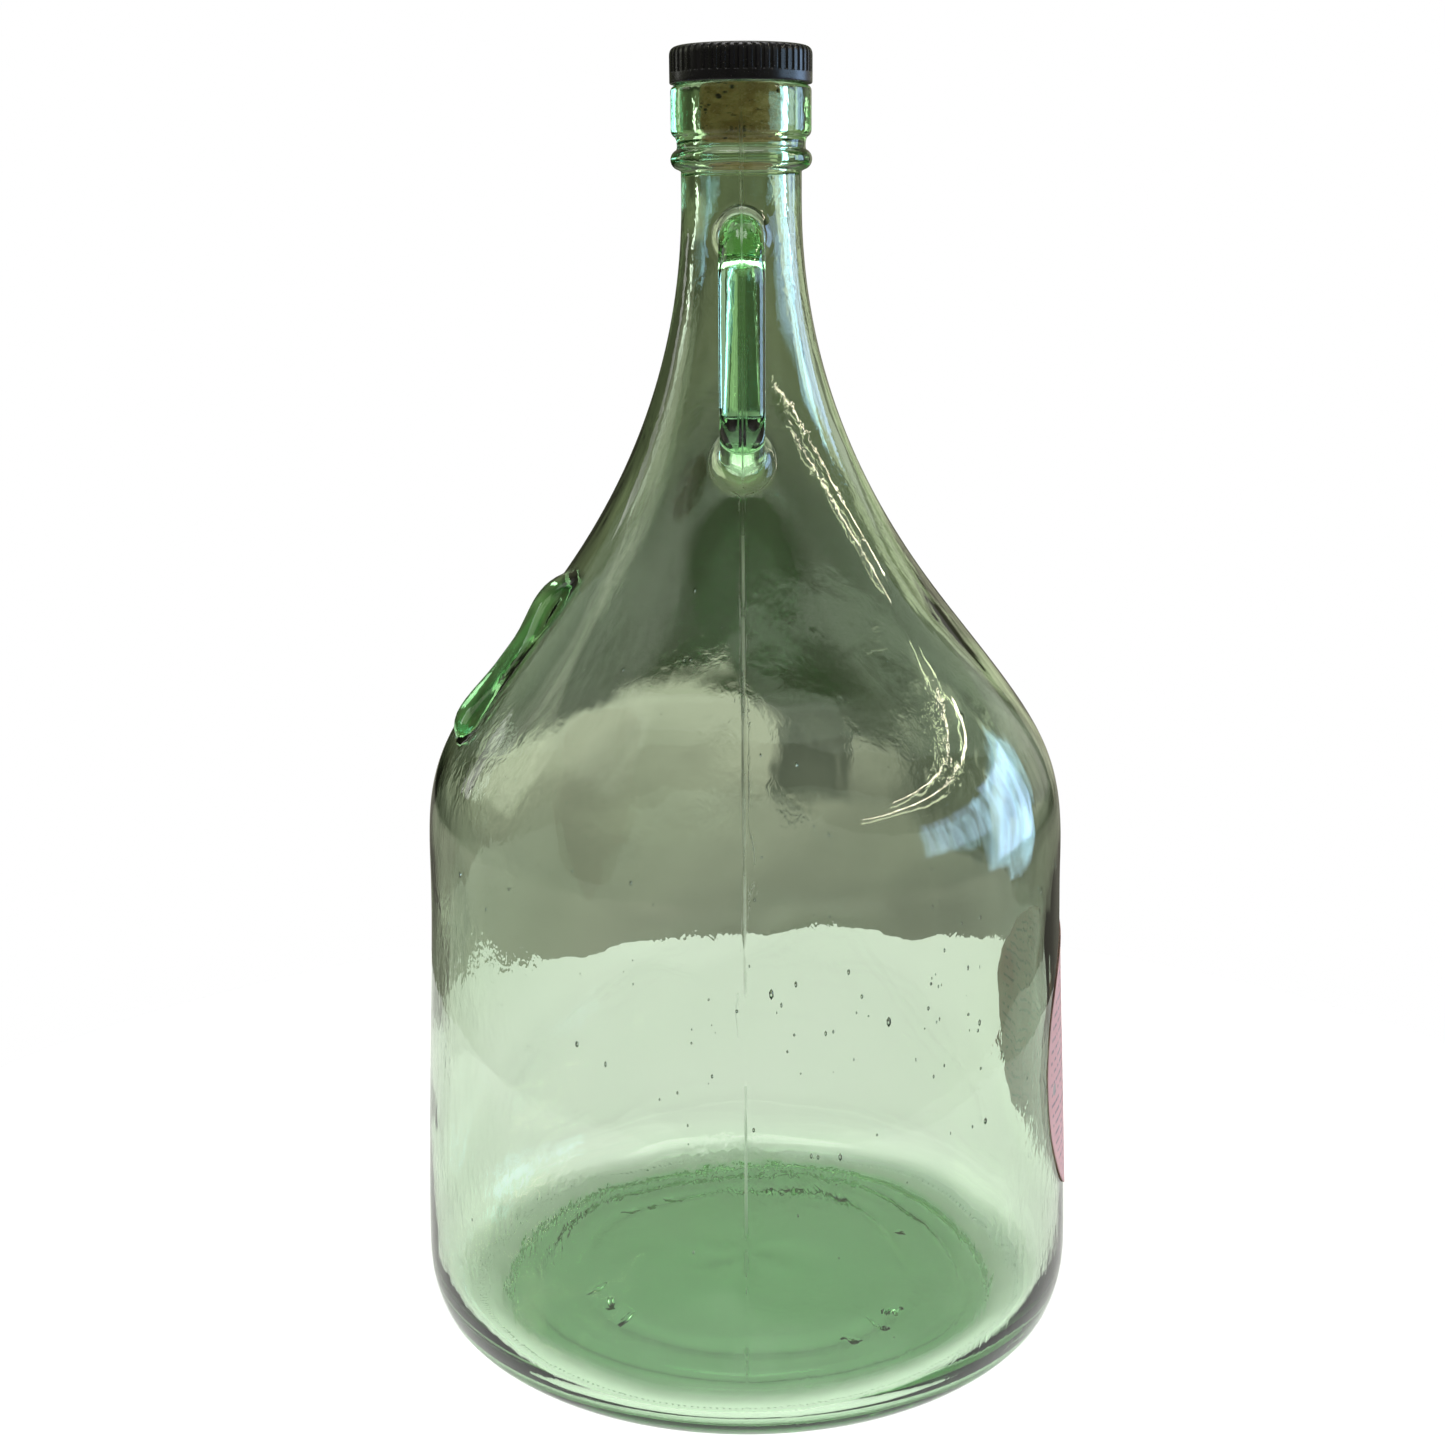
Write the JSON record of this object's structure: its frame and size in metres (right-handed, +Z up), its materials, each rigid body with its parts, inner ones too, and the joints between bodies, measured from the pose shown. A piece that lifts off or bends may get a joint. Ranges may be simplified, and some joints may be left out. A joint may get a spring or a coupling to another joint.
{
  "type": "glass carboy",
  "caption": "Round glass carboy with a long neck, a finger loop, a low shoulder grip, a round label and a push-in stopper with a ribbed top.",
  "frame": {"origin": "centre of the standing ring, on the surface that the carboy stands on", "axes": "+Z up along the carboy's axis; the finger loop faces -Y, the shoulder grip faces -X and the label is on +X"},
  "size_m": [0.1911, 0.1908, 0.3633],
  "materials": {
    "pale_green_glass": "polished",
    "black_plastic": "gloss",
    "clear_glue": "satin",
    "cork": "matte",
    "pink_paper": "matte"
  },
  "bodies": {
    "vessel": {"glass_vessel": "pale_green_glass", "paper_label": "pink_paper"},
    "stopper": {"stopper_head": "black_plastic", "glue_disc": "clear_glue", "cork_shank": "cork"}
  },
  "joints": [
    {"name": "stopper_pull", "type": "slide", "parent": "vessel", "child": "stopper", "axis": [0, 0, 1], "range_m": [0, 0.06]}
  ]
}
